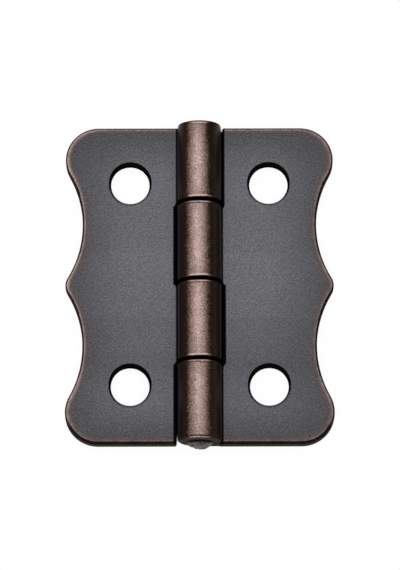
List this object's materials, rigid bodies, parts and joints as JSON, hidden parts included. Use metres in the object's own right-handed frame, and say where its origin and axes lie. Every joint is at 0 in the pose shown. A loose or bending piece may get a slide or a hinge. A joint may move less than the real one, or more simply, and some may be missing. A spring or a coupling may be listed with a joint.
{
  "type": "box hinge",
  "caption": "Small butt hinge for a box lid: scalloped sheet-metal leaves with screw holes, rolled into interleaved knuckles round a riveted pin.",
  "frame": {"origin": "on the back plane of the leaves, under the middle of the barrel, with the hinge opened flat", "axes": "+X across the leaves, +Y along the barrel, +Z out of the face that shows"},
  "size_m": [0.03, 0.0374, 0.0049],
  "materials": {
    "antique_copper": "steel plated with darkened copper, satin, rubbed bright on the edges and knuckles",
    "pin_steel": "bare drawn steel, hammered at the ends"
  },
  "bodies": {
    "left_half": {"left_leaf": "antique_copper", "hinge_pin": "pin_steel"},
    "right_half": {"right_leaf": "antique_copper"}
  },
  "joints": [
    {"name": "leaf_swing", "type": "hinge", "parent": "left_half", "child": "right_half", "pos_m": [0, 0, 0.00243], "axis": [0, -1, 0], "range_deg": [-90, 180]}
  ]
}
